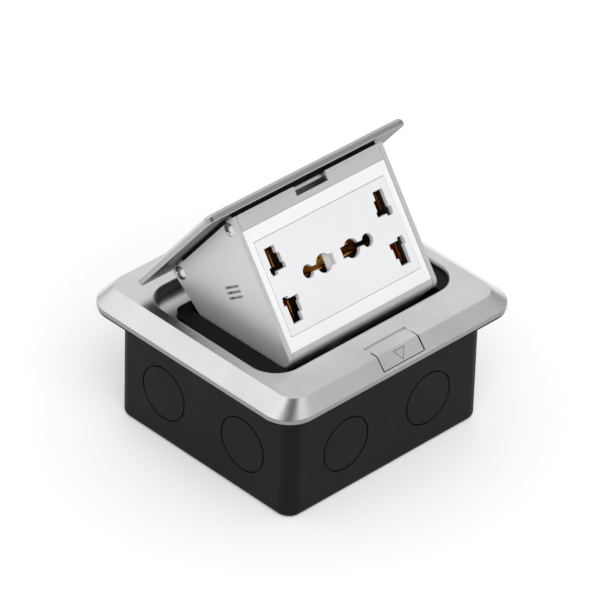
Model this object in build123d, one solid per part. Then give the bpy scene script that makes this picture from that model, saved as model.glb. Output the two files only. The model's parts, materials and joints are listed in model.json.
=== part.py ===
from build123d import *
from math import cos, radians, sin
import os

# Desk socket box: a metal surround with a black back box below the desk top, and a
# hinged riser that stands up with two universal sockets on its face. Millimetres, +Z up,
# the sockets face -Y. Z = 0 is the underside of the back box. The rest pose is open.

# Driving dimensions: back box
box_w = 100.0
box_d = 93.0
box_depth = 50.5
box_wall = 1.5
box_corner_r = 6.0
box_base_r = 2.5
knockout_r = 11.5
knockout_pitch = 42.6
knockout_drop = 28.5
knockout_groove = 0.8
knockout_groove_w = 0.6
fixing_pitch = 60.3
fixing_hole_r = 2.25
lug_depth = 14.0
lug_side = 9.0
box_screw_bite = 8.4
stud_inset = 13.0

# Driving dimensions: metal surround
frame_w = 120.0
frame_d = 110.0
frame_h = 7.5
frame_edge_h = 1.9
frame_bevel_side = 7.2
frame_bevel_end = 4.8
frame_corner_r = 12.0
frame_wall = 1.9
opening_w = 96.0
opening_d = 70.0
opening_corner_r = 11.0
lip_r = 1.2
ledge_drop = 4.5
ledge_t = 1.5
ledge_front_y = 23.5
ledge_corner_r = 4.0
seal_t = 1.0
seal_inset = 0.6
seal_w = 6.0

# Driving dimensions: inner tray
tray_t = 1.5
tray_w = 103.0
tray_front_y = -48.0
tray_corner_r = 5.0
tray_skirt_h = 9.0
tray_skirt_t = 1.4
tray_hole_rear_y = 19.4
cap_x = 42.1
cap_y = -17.5
cap_r = 2.8
cap_t = 1.2
cup_floor_t = 1.3
frame_screw_x = 40.0
frame_screw_y = -42.5
frame_screw_len = 2.2
frame_boss_r = 2.4

# Driving dimensions: riser and hinge
riser_w = 76.0
plate_t = 2.0
top_len = 50.0
face_angle = 72.7
foot_r = 4.1
rear_edge_h = 40.0
heel_run = 8.0
heel_rise = 6.0
open_angle = 51.7
hinge_y = 33.9
hinge_drop = 2.5
hinge_eye_r = 3.5
hinge_pin_r = 1.5
pin_head_r = 2.3
pin_head_t = 1.2
pin_reach = 8.5
front_gap = 1.3
arm_len = 31.0
vent_len = 8.5
vent_w = 1.0
vent_pitch = 2.1
vent_down = 27.3
vent_in = 16.4
bracket_t = 1.5
bracket_foot = 8.0
bracket_foot_d = 6.0
bracket_rear = 1.0
rivet_r = 1.9
rivet_h = 0.9
rivet_edge_r = 0.5
spring_wire_r = 0.45
spring_pitch = 0.81
spring_turns = 6

# Driving dimensions: lid
lid_w = 100.0
lid_t = 3.2
lid_front_overhang = 4.0
lid_rear_overhang = 7.5
lid_corner_r = 12.0
lid_chamfer = 0.5
lid_chamfer_under = 0.3
lid_gap = 0.3
lid_pad_t = 1.2
lug_w = 7.0
lug_h = 6.3
lug_half = 2.2
side_screw_front = 5.1
side_screw_rear = 3.6
side_screw_drop = 2.6
side_screw_len = 7.0

# Driving dimensions: riser face
strip_h = 6.3
strip_t = 1.2
strike_w = 15.8
strike_x = 0.7
strike_h = 3.8
face_h = 48.2
face_t = 2.4
panel_w = 66.0
panel_h = 37.2
panel_t = 2.0
panel_line = 0.15
bottom_flange = 16.0

# Driving dimensions: socket apertures, from the middle of the panel
pin_slot_u = 27.6
pin_slot_v = 10.1
slot_len = 9.4
slot_w = 4.8
step_w = 1.1
step_len = 6.2
cross_w = 7.6
cross_len = 2.1
cross_out = 0.7
nib_w = 2.8
nib_len = 1.1
nib_u = 1.7
earth_big_u = 7.1
earth_big_r = 3.7
earth_small_u = 15.1
earth_small_r = 2.6
earth_bar_w = 2.0
earth_rect_end_u = 2.0
earth_rect_h = 4.4

# Driving dimensions: socket module
case_w = 63.0
case_h = 35.0
case_depth = 17.0
case_wall = 1.4
contact_t = 0.6
contact_setback = 2.2
contact_h = 9.0
contact_seat_w = 3.0
pin_clip_gap = 2.9
pin_clip_w = 7.0
earth_clip_gap = 3.0
earth_clip_w = 5.0
bar_w = 5.0
shutter_travel = 4.0
shutter_t = 0.9
shutter_margin = 1.2
rail_t = 1.1
rail_lip = 0.8
rail_run_on = 1.0
leg_wall = 1.2
leg_inset = 4.0
terminal_pitch = 12.0
terminal_r = 1.5
terminal_wire_r = 1.8
terminal_wire_in = 2.4
terminal_screw_len = 3.6
terminal_block_d = 8.0
terminal_block_h = 10.0

# Driving dimensions: latch
latch_w = 20.8
latch_rear = 8.2
latch_lip_t = 0.5
latch_travel = 2.5
latch_sill = 2.6
latch_cap_t = 2.0
latch_recess_len = 3.6
bolt_w = 12.0
bolt_front_y = -50.6
bolt_setback = 1.0
nose_w = 5.0
nose_x = 5.5
nose_root = 2.5
nose_reach = 0.6
strap_w = 40.0
strap_d = 9.0
strap_front_y = -46.4
strap_t = 1.2
strap_screw_x = 15.5
detent_t = 0.3
detent_r = 3.4

# Driving dimensions: fasteners
head_r = 2.9
head_h = 1.7
small_head_r = 2.35
side_head_r = 2.8
side_head_t = 1.3
side_head_dome = 0.6
head_edge_r = 1.0
shank_r = 1.45
recess_len = 2.7
recess_w = 0.7
recess_d = 0.6
washer_r = 3.4
washer_t = 1.0

# Clearances
fit_gap = 0.1
slide_gap = 0.25
pin_gap = 0.05
press_gap = 0.01
swing_gap = 0.7

# Levels and edges worked out from the dimensions above
rim_z = box_depth
frame_top = rim_z + frame_h
frame_under = frame_top - frame_wall
tray_top = frame_under
tray_under = tray_top - tray_t
ledge_top = frame_top - ledge_drop
ledge_under = ledge_top - ledge_t
ledge_side_y = ledge_front_y - 2 * ledge_corner_r
box_top = ledge_under - fit_gap
box_in_x = box_w / 2 - box_wall
hinge_z = rim_z - hinge_drop
opening_front_y = -opening_d / 2
plate_out_x = riser_w / 2
plate_in_x = plate_out_x - plate_t
inner_w = 2 * (plate_in_x - fit_gap)
tray_hole_x = plate_out_x + swing_gap
tray_hole_front_y = opening_front_y - fit_gap
skirt_out_x = tray_hole_x + tray_skirt_t
cup_seat_z = tray_top - cap_t - fit_gap - head_h
cup_base_z = cup_seat_z - cup_floor_t
bracket_x = plate_out_x + 2 * slide_gap
bracket_out_x = bracket_x + bracket_t

lid_under = frame_top + lid_gap
brow_y = opening_front_y + front_gap
brow_z = lid_under - lid_pad_t
rear_y = brow_y + top_len
side_screw_z = brow_z - side_screw_drop
side_screw_ys = (brow_y + side_screw_front, rear_y - side_screw_rear)
face_len = strip_h + face_h
face_run = (cos(radians(face_angle)), -sin(radians(face_angle)))
face_out = (-sin(radians(face_angle)), -cos(radians(face_angle)))
chin_y = brow_y + face_len * face_run[0]
chin_z = brow_z + face_len * face_run[1]
foot_y = chin_y - foot_r * face_out[0]
foot_z = chin_z - foot_r * face_out[1]
keel_z = foot_z - foot_r

latch_rear_y = -frame_d / 2 + latch_rear
bolt_top = frame_under - fit_gap
bolt_under = tray_under + fit_gap
channel_x = latch_w / 2 + slide_gap
strap_screw_y = strap_front_y + strap_d / 2

white_mid = -(strip_h + face_h / 2)
case_front = -panel_t
case_back = case_front - case_depth
contact_base = case_front - contact_setback - contact_h
bar_under = contact_base - contact_t
shutter_top = case_front - fit_gap
shutter_x0 = -(earth_big_u + fit_gap)
shutter_x1 = -(earth_rect_end_u - fit_gap)
shutter_half_h = earth_big_r + shutter_margin

face_plane = Plane(origin=(0, brow_y, brow_z), x_dir=(1, 0, 0), z_dir=(0, face_out[0], face_out[1]))
hinge_axis = Axis((0, hinge_y, hinge_z), (1, 0, 0))


def block(x0, x1, y0, y1, z0, z1):
    """A box between two corners."""
    size = Box(x1 - x0, y1 - y0, z1 - z0)
    return Pos((x0 + x1) / 2, (y0 + y1) / 2, (z0 + z1) / 2) * size


def slab(width, depth, radius, z0, z1, y_mid=0.0):
    """A rounded rectangle standing between two levels."""
    outline = Pos(0, y_mid, z0) * RectangleRounded(width, depth, radius)
    return extrude(outline, z1 - z0)


def rod(radius, x0, x1, y, z):
    """A round bar along X."""
    bar = Rot(0, 90, 0) * Cylinder(radius, x1 - x0)
    return Pos((x0 + x1) / 2, y, z) * bar


def post(radius, x, y, z0, z1):
    """A round bar along Z."""
    return Pos(x, y, (z0 + z1) / 2) * Cylinder(radius, z1 - z0)


def both_sides(right):
    """The right-hand piece and its mirror image on the left."""
    return [right, right.mirror(Plane.YZ)]


def opened(shape):
    """A riser piece modelled closed, turned about the hinge to the rest pose."""
    return shape.rotate(hinge_axis, -open_angle)


def save(pieces, node):
    """Writes one node, a piece or a group of like pieces, as a STEP file."""
    solids = []
    for piece in pieces if isinstance(pieces, list) else [pieces]:
        solids += piece.solids()
    whole = solids[0] if len(solids) == 1 else Compound(children=solids)
    whole.label = node
    export_step(whole, f"parts/{node}.step")


def cross_recess(top_z):
    """The cross cut in a screw's head."""
    slots = Pos(0, 0, top_z) * Box(recess_len, recess_w, 2 * recess_d)
    return slots + Pos(0, 0, top_z) * Box(recess_w, recess_len, 2 * recess_d)


def pan_head_screw(length, radius=head_r):
    """A cross-recessed pan-head screw: the head stands on Z = 0, the shank points to -Z."""
    head = Cylinder(radius, head_h, align=(Align.CENTER, Align.CENTER, Align.MIN))
    head = fillet(head.edges().group_by(Axis.Z)[-1], head_edge_r)
    shank = Cylinder(shank_r, length, align=(Align.CENTER, Align.CENTER, Align.MAX))
    return head - cross_recess(head_h) + shank


def head_cone(gap):
    """The cone of a countersunk head, from Z = 0 down to its shank."""
    return Cone(shank_r + gap, side_head_r + gap, side_head_t,
                align=(Align.CENTER, Align.CENTER, Align.MAX))


def raised_countersunk_screw(length):
    """A countersunk screw whose domed head stands a little above Z = 0."""
    ball_r = (side_head_r ** 2 + side_head_dome ** 2) / (2 * side_head_dome)
    dome = Pos(0, 0, side_head_dome - ball_r) * Sphere(ball_r)
    dome &= Cylinder(side_head_r, side_head_dome, align=(Align.CENTER, Align.CENTER, Align.MIN))
    shank = Cylinder(shank_r, length, align=(Align.CENTER, Align.CENTER, Align.MAX))
    return head_cone(0) + dome + shank - cross_recess(side_head_dome)


def bevelled_slab(inset, z_top):
    """The surround's outer form: an upright edge, then bevels up to a flat top."""
    z_edge = rim_z + frame_edge_h
    rise = (z_top - z_edge) / (frame_h - frame_edge_h)
    width = frame_w - 2 * inset
    depth = frame_d - 2 * inset
    top_w = width - 2 * frame_bevel_side * rise
    top_d = depth - 2 * frame_bevel_end * rise
    radius = frame_corner_r - inset
    top_r = radius - frame_bevel_end * rise
    base = slab(width, depth, radius, rim_z, z_edge)
    low = Pos(0, 0, z_edge) * RectangleRounded(width, depth, radius)
    high = Pos(0, 0, z_top) * RectangleRounded(top_w, top_d, top_r)
    return base + loft([low, high], ruled=True)


# Back box
def knockout_ring():
    """The thinned groove round one knock-out, about the Z axis."""
    core = Cylinder(knockout_r - knockout_groove_w, 2 * knockout_groove)
    return Cylinder(knockout_r, 2 * knockout_groove) - core


def make_back_box():
    outer = slab(box_w, box_d, box_corner_r, 0, box_top)
    outer = fillet(outer.edges().group_by(Axis.Z)[0], box_base_r)
    hollow = slab(2 * box_in_x, box_d - 2 * box_wall, box_corner_r - box_wall, box_wall, box_top)
    box = outer - hollow
    knockout_z = rim_z - knockout_drop
    for along in (-knockout_pitch / 2, knockout_pitch / 2):
        for side in (-1, 1):
            box -= Pos(side * box_w / 2, along, knockout_z) * Rot(0, 90, 0) * knockout_ring()
            box -= Pos(along, side * box_d / 2, knockout_z) * Rot(90, 0, 0) * knockout_ring()
    lug = block(skirt_out_x + fit_gap, box_in_x + box_wall / 2, cap_y - lug_side / 2, cap_y + lug_side / 2,
                cup_base_z - lug_depth, cup_base_z)
    lug -= post(shank_r + pin_gap, cap_x, cap_y, cup_base_z - lug_depth, cup_base_z)
    box += both_sides(lug)
    for hole in both_sides(post(fixing_hole_r, fixing_pitch / 2, 0, 0, box_wall)):
        box -= hole
    return box


def make_box_screws():
    screw = Pos(cap_x, cap_y, cup_seat_z) * pan_head_screw(cup_floor_t + box_screw_bite, small_head_r)
    return both_sides(screw)


def make_earth_stud():
    """The earth terminal on the box floor: a square washer and its screw."""
    stud_x = stud_inset - box_w / 2
    stud_y = stud_inset - box_d / 2
    washer = block(stud_x - washer_r, stud_x + washer_r, stud_y - washer_r, stud_y + washer_r,
                   box_wall, box_wall + washer_t)
    screw = Pos(stud_x, stud_y, box_wall + washer_t) * pan_head_screw(washer_t / 2)
    return washer + screw


# Metal surround
def ledge_window():
    """The part of the rear recess that the tray fills, as a tall cutter."""
    width = opening_w - 2 * ledge_corner_r
    return slab(width, opening_d, ledge_corner_r, 0, frame_top, y_mid=ledge_front_y - opening_d / 2)


def is_lip(edge):
    """Whether an edge lies on the flat top, round the opening."""
    middle = edge.center()
    inside = abs(middle.X) <= opening_w / 2 + fit_gap and abs(middle.Y) <= opening_d / 2 + fit_gap
    return inside and abs(middle.Z - frame_top) < fit_gap


def make_frame():
    outer = bevelled_slab(0, frame_top)
    cavity = bevelled_slab(frame_wall, frame_under)
    collar = slab(opening_w + 2 * frame_wall, opening_d + 2 * frame_wall, opening_corner_r + frame_wall,
                  ledge_under, frame_under)
    collar &= block(-frame_w / 2, frame_w / 2, ledge_side_y, frame_d / 2, ledge_under, frame_under)
    body = (outer - cavity) + collar
    body -= slab(opening_w, opening_d, opening_corner_r, ledge_under - 1, frame_top + 1)
    body = fillet(body.edges().filter_by(is_lip), lip_r)
    ledge = slab(opening_w + 2 * fit_gap, opening_d + 2 * fit_gap, opening_corner_r, ledge_under, ledge_top)
    ledge &= block(-opening_w, opening_w, ledge_side_y, opening_d, ledge_under, ledge_top)
    body += ledge - ledge_window()
    body -= block(-channel_x, channel_x, -frame_d, latch_rear_y + slide_gap, rim_z + latch_sill, frame_top + 1)
    recess_z = frame_top - latch_lip_t - fit_gap
    body -= block(-channel_x, channel_x, latch_rear_y, latch_rear_y + latch_recess_len, recess_z, frame_top + 1)
    boss_hole_top = tray_under + frame_screw_len + fit_gap
    body += both_sides(post(frame_boss_r, frame_screw_x, frame_screw_y, tray_under, frame_under))
    for hole in both_sides(post(shank_r + pin_gap, frame_screw_x, frame_screw_y, tray_under, boss_hole_top)):
        body -= hole
    return body


def make_frame_screws():
    """The screws that pull the tray up against the surround's bosses, heads below."""
    place = Pos(frame_screw_x, frame_screw_y, tray_under) * Rot(180, 0, 0)
    return both_sides(place * pan_head_screw(frame_screw_len))


def make_rim_seal():
    """The foam ring between the surround's edge and the desk top."""
    width = frame_w - 2 * seal_inset
    depth = frame_d - 2 * seal_inset
    ring = slab(width, depth, frame_corner_r - seal_inset, rim_z - seal_t, rim_z)
    return ring - slab(width - 2 * seal_w, depth - 2 * seal_w, box_corner_r, rim_z - seal_t, rim_z)


# Inner tray
def make_tray():
    depth = ledge_front_y - tray_front_y
    plate = slab(tray_w, depth, tray_corner_r, tray_under, tray_top, y_mid=ledge_front_y - depth / 2)
    beside_ledge = block(-tray_w, tray_w, ledge_side_y - fit_gap, box_d, tray_under - 1, tray_top + 1)
    plate -= beside_ledge - ledge_window()
    skirt = block(-skirt_out_x, skirt_out_x, tray_hole_front_y - tray_skirt_t, ledge_side_y,
                  tray_under - tray_skirt_h, tray_under)
    cup = post(cap_r + tray_skirt_t, cap_x, cap_y, cup_base_z, tray_under)
    tray = plate + skirt + both_sides(cup)
    tray -= block(-tray_hole_x, tray_hole_x, tray_hole_front_y, tray_hole_rear_y, 0, tray_top + 1)
    tray -= block(-channel_x, channel_x, tray_front_y - 1, tray_hole_front_y + 1, 0, tray_top + 1)
    cuts = [post(cap_r + pin_gap, cap_x, cap_y, tray_top - cap_t, tray_top),
            post(small_head_r + pin_gap, cap_x, cap_y, cup_seat_z, tray_top),
            post(shank_r + pin_gap, cap_x, cap_y, cup_base_z, tray_top),
            post(frame_boss_r + pin_gap, frame_screw_x, frame_screw_y, tray_under, tray_top),
            post(shank_r, strap_screw_x, strap_screw_y, tray_under, tray_top - fit_gap)]
    for cut in cuts:
        for piece in both_sides(cut):
            tray -= piece
    return tray


def make_screw_caps():
    return both_sides(post(cap_r, cap_x, cap_y, tray_top - cap_t, tray_top))


# Riser: all pieces are modelled closed
def side_outline():
    """The side plate's outline in the Y-Z plane."""
    arc_mid = radians(face_angle / 2)
    mid_y = foot_y - foot_r * sin(arc_mid)
    mid_z = foot_z - foot_r * cos(arc_mid)
    heel_z = brow_z - rear_edge_h
    with BuildSketch(Plane.YZ) as sketch:
        with BuildLine():
            Polyline((foot_y, keel_z), (rear_y - heel_run, keel_z + heel_rise), (rear_y, heel_z),
                     (rear_y, brow_z), (brow_y, brow_z), (chin_y, chin_z))
            ThreePointArc((chin_y, chin_z), (mid_y, mid_z), (foot_y, keel_z))
        make_face()
    return sketch.sketch


def vent_slots():
    """Three parallel vent slots, as cutters through the right side plate."""
    origin = (plate_in_x - 1, brow_y, brow_z)
    plane = Plane(origin=origin, x_dir=(0, face_run[0], face_run[1]), z_dir=(1, 0, 0))
    slot = Rot(0, 0, 90) * extrude(SlotOverall(vent_len, vent_w), plate_t + 2)
    return [plane * Pos(vent_down + vent_pitch * step, vent_in, 0) * slot for step in (-1, 0, 1)]


def make_right_side_plate():
    plate = Pos(plate_in_x, 0, 0) * extrude(side_outline(), plate_t)
    toward_riser = Pos(0, hinge_y, hinge_z) * Rot(90 + open_angle, 0, 0)
    arm = toward_riser * block(plate_in_x, plate_out_x, -hinge_eye_r, hinge_eye_r, 0, arm_len)
    plate += [arm, rod(hinge_eye_r, plate_in_x, plate_out_x, hinge_y, hinge_z)]
    plate -= rod(hinge_pin_r + pin_gap, plate_in_x - 1, plate_out_x + 1, hinge_y, hinge_z)
    for y in side_screw_ys:
        seat = Pos(plate_out_x, y, side_screw_z) * Rot(0, 90, 0)
        plate -= seat * head_cone(pin_gap)
        plate -= rod(shank_r + pin_gap, plate_in_x - 1, plate_out_x, y, side_screw_z)
    for slot in vent_slots():
        plate -= slot
    return plate


def lug_blocks(grow):
    """The four cast lugs below the lid that take the side screws."""
    outer_x = plate_in_x - fit_gap + grow
    lugs = []
    for y in side_screw_ys:
        lug = block(outer_x - lug_w - 2 * grow, outer_x, y - lug_half - grow, y + lug_half + grow,
                    lid_under - lug_h - grow, lid_under)
        lugs += both_sides(lug)
    return lugs


def make_lid():
    depth = lid_front_overhang + top_len + lid_rear_overhang
    y_mid = brow_y - lid_front_overhang + depth / 2
    lid = slab(lid_w, depth, lid_corner_r, lid_under, lid_under + lid_t, y_mid=y_mid)
    lid = chamfer(lid.edges().group_by(Axis.Z)[-1], lid_chamfer)
    lid = chamfer(lid.edges().group_by(Axis.Z)[0], lid_chamfer_under)
    lid += lug_blocks(0)
    for y in side_screw_ys:
        lid -= rod(shank_r + pin_gap, -plate_in_x, plate_in_x, y, side_screw_z)
    return lid


def make_lid_pad():
    """The black spacer sheet between the lid and the riser's top."""
    pad = block(-inner_w / 2, inner_w / 2, brow_y + strip_t, rear_y - strip_t, brow_z, lid_under)
    for lug in lug_blocks(fit_gap):
        pad -= lug
    return pad


def make_top_bracket():
    """Folded sheet: the brushed strip above the sockets and the flange under the lid."""
    half_w = inner_w / 2
    strip = face_plane * block(-half_w, half_w, fit_gap - strip_h, strip_t, -strip_t, 0)
    flange = block(-half_w, half_w, brow_y, rear_y - strip_t, brow_z - strip_t, brow_z)
    bracket = (strip + flange) & block(-riser_w, riser_w, brow_y, rear_y, 0, brow_z)
    for lug in lug_blocks(fit_gap):
        bracket -= lug
    strike_x0 = strike_x - strike_w / 2
    return bracket - face_plane * block(strike_x0, strike_x0 + strike_w, -strike_h, strip_t, -2 * strip_t, 1)


def make_bottom_bracket():
    """Folded sheet: the rounded chin below the sockets and the floor of the riser."""
    ring = Plane.YZ * Pos(foot_y, foot_z) * (Circle(foot_r) - Circle(foot_r - strip_t))
    tube = Pos(-inner_w / 2, 0, 0) * extrude(ring, inner_w)
    front_lower = block(-inner_w, inner_w, foot_y - 2 * foot_r, foot_y, keel_z - 1, foot_z + foot_r)
    below_chin = face_plane * block(-inner_w, inner_w, -2 * face_len, -face_len, -2 * foot_r, foot_r)
    chin = tube & front_lower & below_chin
    floor = block(-inner_w / 2, inner_w / 2, foot_y, foot_y + bottom_flange, keel_z, keel_z + strip_t)
    return chin + floor


def make_face_plate():
    """The white surround of the sockets."""
    plate = block(-inner_w / 2, inner_w / 2, -face_len, -strip_h, -face_t, 0)
    window = Box(panel_w + 2 * panel_line, panel_h + 2 * panel_line, 3 * face_t)
    return face_plane * (plate - Pos(0, white_mid, 0) * window)


def pin_slot():
    """The right upper pin aperture: a stepped slot, a cross bar at its inner end and a nib."""
    low = -slot_len / 2
    outline = Rectangle(slot_w, slot_len)
    outline += Pos(-slot_w / 2 - step_w / 2, low + step_len / 2) * Rectangle(step_w, step_len)
    outline += Pos(cross_w / 2 - slot_w / 2 - step_w - cross_out, low + cross_len / 2) * Rectangle(cross_w, cross_len)
    outline += Pos(nib_u, low - nib_len / 2) * Rectangle(nib_w, nib_len)
    return Pos(pin_slot_u, pin_slot_v) * outline


def earth_slot():
    """The right earth aperture: a large and a small hole, the bar between and a square end."""
    outline = Pos(earth_big_u, 0) * Circle(earth_big_r)
    outline += Pos(earth_small_u, 0) * Circle(earth_small_r)
    outline += Pos((earth_small_u + earth_big_u) / 2, 0) * Rectangle(earth_small_u - earth_big_u, earth_bar_w)
    rect_len = earth_big_u - earth_rect_end_u
    return outline + Pos(earth_rect_end_u + rect_len / 2, 0) * Rectangle(rect_len, earth_rect_h)


def aperture_cutters():
    """Every aperture as a cutter through the panel."""
    upper = Pos(0, 0, -2 * panel_t) * extrude(pin_slot(), 3 * panel_t)
    earth = Pos(0, 0, -2 * panel_t) * extrude(earth_slot(), 3 * panel_t)
    cutters = both_sides(upper) + both_sides(upper.mirror(Plane.XZ)) + both_sides(earth)
    return [Pos(0, white_mid, 0) * cutter for cutter in cutters]


def shutter_rails():
    """Two grooved rails on the panel's back that carry the shutter."""
    x0 = shutter_x0 - rail_run_on
    x1 = shutter_x1 + shutter_travel + rail_run_on
    inner = shutter_half_h + fit_gap
    groove_z = shutter_top - shutter_t - fit_gap
    rail = block(x0, x1, inner, inner + rail_t, groove_z - rail_lip, case_front)
    rail += block(x0, x1, inner - rail_lip, inner + rail_t, groove_z - rail_lip, groove_z)
    return [Pos(0, white_mid, 0) * piece for piece in (rail, rail.mirror(Plane.XZ))]


def make_socket_panel():
    panel = Pos(0, white_mid, -panel_t / 2) * Box(panel_w, panel_h, panel_t)
    for cutter in aperture_cutters():
        panel -= cutter
    return face_plane * (panel + shutter_rails())


def contact_seats():
    """The ribs on the case's floor that carry the contact bars."""
    half = contact_seat_w / 2
    seats = []
    for u, v in ((pin_slot_u, pin_slot_v), (pin_slot_u, -pin_slot_v), (earth_small_u, 0)):
        seat = block(u - half, u + half, white_mid + v - half, white_mid + v + half,
                     case_back + case_wall, bar_under)
        seats += both_sides(seat)
    return seats


def make_socket_case():
    """The moulded case behind the panel: two cells, the rib between them and contact seats."""
    case = block(-case_w / 2, case_w / 2, white_mid - case_h / 2, white_mid + case_h / 2, case_back, case_front)
    half_h = case_h / 2 - case_wall
    cell = block(case_wall / 2, case_w / 2 - case_wall, white_mid - half_h, white_mid + half_h,
                 case_back + case_wall, case_front)
    for piece in both_sides(cell):
        case -= piece
    case -= block(-case_wall, case_wall, white_mid - half_h, white_mid + half_h, bar_under - fit_gap, case_front)
    return face_plane * (case + contact_seats())


def contact_clip(gap, width):
    """A folded spring clip on its base strip: two leaves along X, open towards +Z."""
    clip = Box(gap + 2 * contact_t, width, contact_t, align=(Align.CENTER, Align.CENTER, Align.MAX))
    for side in (-1, 1):
        leaf = Box(contact_t, width, contact_h, align=(Align.CENTER, Align.CENTER, Align.MIN))
        clip += Pos(side * (gap + contact_t) / 2, 0, 0) * leaf
    return clip


def contact_bar(half_len, y):
    return block(-half_len, half_len, y - bar_w / 2, y + bar_w / 2, bar_under, contact_base)


def make_pin_contacts(v_side):
    """Both clips of one pole, joined by the bar that runs behind them."""
    y = white_mid + v_side * pin_slot_v
    clip = Pos(pin_slot_u, y, contact_base) * contact_clip(pin_clip_gap, pin_clip_w)
    return face_plane * (contact_bar(pin_slot_u, y) + both_sides(clip))


def make_earth_contacts():
    bar = contact_bar(earth_small_u, white_mid)
    for u in (earth_big_u, earth_small_u):
        clip = Rot(0, 0, 90) * contact_clip(earth_clip_gap, earth_clip_w)
        bar += both_sides(Pos(u, white_mid, contact_base) * clip)
    return face_plane * bar


def make_shutter():
    """The sliding leaf behind the left earth aperture, closed."""
    return face_plane * block(shutter_x0, shutter_x1, white_mid - shutter_half_h, white_mid + shutter_half_h,
                              shutter_top - shutter_t, shutter_top)


def make_terminal_block():
    """The screw terminals on the back of the socket case."""
    half_w = 1.5 * terminal_pitch
    half_h = terminal_block_h / 2
    back = case_back - terminal_block_d
    body = block(-half_w, half_w, white_mid - half_h, white_mid + half_h, back, case_back)
    wire_z = case_back - terminal_wire_in
    for step in (-1, 0, 1):
        x = step * terminal_pitch
        body -= Pos(x, white_mid, wire_z) * Rot(90, 0, 0) * Cylinder(terminal_wire_r, 2 * terminal_block_h)
        body -= Pos(x, white_mid, 0) * post(terminal_r + pin_gap, 0, 0, back, wire_z)
    return face_plane * body


def make_terminal_screws():
    back = case_back - terminal_block_d
    screws = []
    for step in (-1, 0, 1):
        x = step * terminal_pitch
        screw = post(terminal_r, x, white_mid, back, back + terminal_screw_len)
        screws.append(face_plane * (screw - Pos(x, white_mid, back) * Box(2 * terminal_r, recess_w, 2 * recess_d)))
    return screws


def make_case_legs():
    """Two channel-shaped legs that hold the socket case to the side plates."""
    x0 = case_w / 2
    x1 = inner_w / 2
    half_h = case_h / 2 - leg_inset
    leg = block(x0, x1, white_mid - half_h, white_mid + half_h, case_back + leg_inset, -face_t)
    leg -= block(x0 + leg_wall, x1 - leg_wall, white_mid - half_h, white_mid + half_h,
                 case_back, -face_t - leg_wall)
    return both_sides(face_plane * leg)


def make_side_screws():
    screws = []
    for y in side_screw_ys:
        place = Pos(plate_out_x, y, side_screw_z) * Rot(0, 90, 0)
        screws += both_sides(place * raised_countersunk_screw(side_screw_len))
    return screws


# Hinge
def make_right_hinge_bracket():
    """A folded bracket: the foot below the ledge and the ear that holds the pin."""
    front_y = hinge_y - hinge_eye_r - bracket_t
    ear = block(bracket_x, bracket_out_x, front_y, hinge_y + hinge_eye_r + bracket_rear,
                hinge_z - hinge_eye_r - bracket_t, ledge_under)
    ear = fillet(ear.edges().filter_by(Axis.X).group_by(Axis.Z)[0], hinge_eye_r)
    foot = block(bracket_x, bracket_x + bracket_foot, front_y, front_y + bracket_foot_d,
                 ledge_under - bracket_t, ledge_under)
    return ear + foot - rod(hinge_pin_r + press_gap, bracket_x - 1, bracket_out_x + 1, hinge_y, hinge_z)


def make_hinge_rivets():
    """The rivet heads below the brackets' feet."""
    x = bracket_x + bracket_foot - rivet_r - bracket_t / 2
    y = hinge_y - hinge_eye_r - bracket_t + bracket_foot_d / 2
    foot_under = ledge_under - bracket_t
    head = post(rivet_r, x, y, foot_under - rivet_h, foot_under)
    return both_sides(fillet(head.edges().group_by(Axis.Z)[0], rivet_edge_r))


def make_hinge_pins():
    pin = rod(hinge_pin_r, plate_in_x - pin_reach, bracket_out_x, hinge_y, hinge_z)
    pin += rod(pin_head_r, bracket_out_x, bracket_out_x + pin_head_t, hinge_y, hinge_z)
    return both_sides(pin)


def make_hinge_springs():
    """Torsion springs round the pins: close turns, and the leg that bears on the ledge."""
    coil_r = hinge_pin_r + pin_gap + spring_wire_r
    first_x = plate_in_x - pin_reach + 2 * spring_wire_r
    turns = Pos(first_x, coil_r) * Circle(spring_wire_r)
    for turn in range(1, spring_turns):
        turns += Pos(first_x + turn * spring_pitch, coil_r) * Circle(spring_wire_r)
    coil = Pos(0, hinge_y, hinge_z) * revolve(turns, Axis.X)
    leg = post(spring_wire_r, first_x + spring_pitch / 2, hinge_y - coil_r, hinge_z, ledge_under)
    return both_sides(coil + leg)


# Latch
def make_latch():
    """The sliding button, flush with the surround, and the bolt that it carries."""
    skin = bevelled_slab(0, frame_top) - bevelled_slab(latch_cap_t, frame_top - latch_cap_t)
    cap = skin & block(-latch_w / 2, latch_w / 2, -frame_d, latch_rear_y,
                       rim_z + latch_sill + slide_gap, frame_top)
    cap -= block(-latch_w, latch_w, latch_rear_y - latch_travel, latch_rear_y, rim_z, frame_top - latch_lip_t)
    bolt = block(-bolt_w / 2, bolt_w / 2, bolt_front_y, opening_front_y - bolt_setback, bolt_under, bolt_top)
    nose = block(nose_x - nose_w / 2, nose_x + nose_w / 2, opening_front_y - nose_root,
                 opening_front_y + nose_reach, bolt_under, bolt_top)
    return cap + bolt + nose


def make_latch_guide():
    """The steel strap under the tray that carries the latch bolt."""
    strap = block(-strap_w / 2, strap_w / 2, strap_front_y, strap_front_y + strap_d,
                  tray_under - strap_t, tray_under)
    for hole in both_sides(post(shank_r + pin_gap, strap_screw_x, strap_screw_y, 0, tray_under)):
        strap -= hole
    return strap


def make_guide_screws():
    place = Pos(strap_screw_x, strap_screw_y, tray_under - strap_t) * Rot(180, 0, 0)
    return both_sides(place * pan_head_screw(strap_t + tray_t - slide_gap, small_head_r))


def make_detent_spring():
    """The bowed leaf that presses on the bolt's side and holds it where it is put."""
    bow_x = bolt_w / 2 + pin_gap + detent_r
    leaf = post(detent_r, bow_x, strap_screw_y, tray_under, bolt_top)
    leaf -= post(detent_r - detent_t, bow_x, strap_screw_y, tray_under, bolt_top)
    return leaf & block(0, channel_x - pin_gap, tray_front_y, 0, tray_under, bolt_top)


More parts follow.
